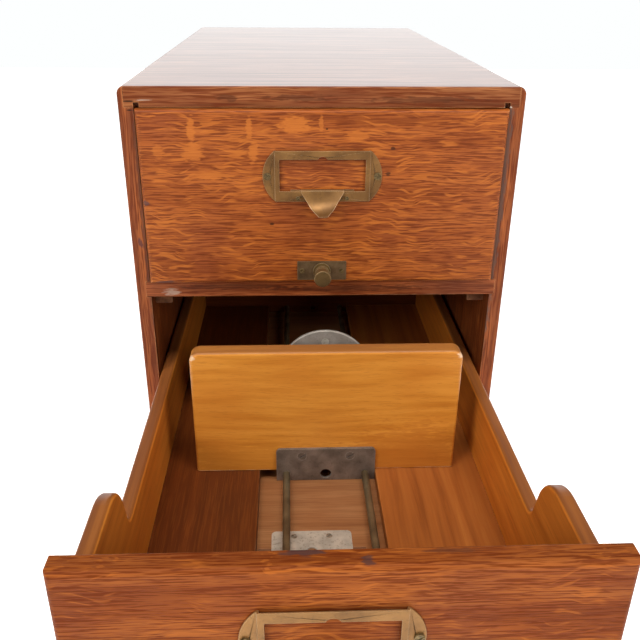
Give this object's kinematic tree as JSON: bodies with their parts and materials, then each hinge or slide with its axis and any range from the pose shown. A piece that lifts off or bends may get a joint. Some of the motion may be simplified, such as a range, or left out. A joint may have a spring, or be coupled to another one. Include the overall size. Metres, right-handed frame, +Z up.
{
  "type": "desktop card file cabinet",
  "caption": "Desktop wooden file with card drawers one above the other, brass label pulls, scooped drawer sides and sliding follower blocks.",
  "frame": {"origin": "middle of the base, where it stands on the desk", "axes": "+Z up, +Y to the back of the cabinet, +X to the right as one faces the drawers; rest pose has the upper drawer shut and the lower drawer out 252.5 mm"},
  "size_m": [0.254, 0.7605, 0.2689],
  "materials": {
    "cabinet_oak": "stained and varnished oak",
    "quartered_oak": "stained and varnished quarter-sawn oak with ray fleck",
    "inner_wood": "plain wood, aged",
    "drawer_wood": "varnished plain wood",
    "floor_wood": "varnished plain wood",
    "aged_brass": "aged, satin",
    "nickel_plate": "worn nickel plate",
    "grey_steel": "dull",
    "dark_steel": "darkened, satin"
  },
  "bodies": {
    "cabinet": {"left_side": "cabinet_oak", "right_side": "cabinet_oak", "left_runner": "inner_wood", "right_runner": "inner_wood", "top_board": "cabinet_oak", "bottom_board": "inner_wood", "back_panel": "inner_wood", "divider_rail": "cabinet_oak", "runner_screws": "dark_steel", "back_panel_screws": "dark_steel"},
    "upper_drawer": {"upper_front": "quartered_oak", "upper_left_side": "drawer_wood", "upper_right_side": "drawer_wood", "upper_back": "drawer_wood", "upper_base_board": "floor_wood", "upper_left_floor_board": "floor_wood", "upper_right_floor_board": "floor_wood", "upper_label_holder": "aged_brass", "upper_finger_pull": "aged_brass", "upper_pull_rivets": "aged_brass", "upper_label_screws": "aged_brass", "upper_knob_plate": "aged_brass", "upper_knob_plate_screws": "aged_brass", "upper_guide_rods": "dark_steel", "upper_catch_plate": "nickel_plate", "upper_catch_screws": "dark_steel"},
    "upper_follower": {"upper_follower_block": "dark_steel", "upper_foot_plate": "dark_steel", "upper_foot_screws": "dark_steel", "upper_follower_bracket": "dark_steel", "upper_bracket_screws": "dark_steel"},
    "upper_lock": {"upper_lock_spindle": "grey_steel", "upper_lock_disc": "grey_steel", "upper_finger_pin": "nickel_plate"},
    "lower_drawer": {"lower_front": "quartered_oak", "lower_left_side": "drawer_wood", "lower_right_side": "drawer_wood", "lower_back": "drawer_wood", "lower_base_board": "floor_wood", "lower_left_floor_board": "floor_wood", "lower_right_floor_board": "floor_wood", "lower_label_holder": "aged_brass", "lower_finger_pull": "aged_brass", "lower_pull_rivets": "aged_brass", "lower_label_screws": "aged_brass", "lower_knob_plate": "aged_brass", "lower_knob_plate_screws": "aged_brass", "lower_guide_rods": "dark_steel", "lower_catch_plate": "nickel_plate", "lower_catch_screws": "dark_steel"},
    "lower_follower": {"lower_follower_block": "dark_steel", "lower_foot_plate": "dark_steel", "lower_foot_screws": "dark_steel", "lower_follower_bracket": "dark_steel", "lower_bracket_screws": "dark_steel"},
    "lower_lock": {"lower_lock_spindle": "grey_steel", "lower_lock_disc": "grey_steel", "lower_finger_pin": "nickel_plate"},
    "upper_card_rod": {"upper_card_rod": "dark_steel"},
    "upper_rod_knob": {"upper_rod_knob": "aged_brass"}
  },
  "joints": [
    {"name": "upper_drawer_slide", "type": "slide", "parent": "cabinet", "child": "upper_drawer", "axis": [0, -1, 0], "range_m": [0, 0.33]},
    {"name": "lower_drawer_slide", "type": "slide", "parent": "cabinet", "child": "lower_drawer", "axis": [0, -1, 0], "range_m": [-0.2525, 0.0775]},
    {"name": "upper_follower_slide", "type": "slide", "parent": "upper_drawer", "child": "upper_follower", "axis": [0, 1, 0], "range_m": [-0.24, 0.175]},
    {"name": "lower_follower_slide", "type": "slide", "parent": "lower_drawer", "child": "lower_follower", "axis": [0, 1, 0], "range_m": [-0.18, 0.235]},
    {"name": "upper_lock_turn", "type": "hinge", "parent": "upper_follower", "child": "upper_lock", "pos_m": [-0.0004, 0.0512, 0.2135], "axis": [0, 1, 0], "range_deg": [-120, 120]},
    {"name": "lower_lock_turn", "type": "hinge", "parent": "lower_follower", "child": "lower_lock", "pos_m": [0.0012, -0.2618, 0.086], "axis": [0, 1, 0], "range_deg": [-120, 120]},
    {"name": "upper_card_rod_slide", "type": "slide", "parent": "upper_drawer", "child": "upper_card_rod", "axis": [0, -1, 0], "range_m": [0, 0.46]},
    {"name": "upper_rod_knob_turn", "type": "hinge", "parent": "upper_card_rod", "child": "upper_rod_knob", "pos_m": [-0.0004, -0.2545, 0.1497], "axis": [0, 1, 0], "continuous": true}
  ]
}
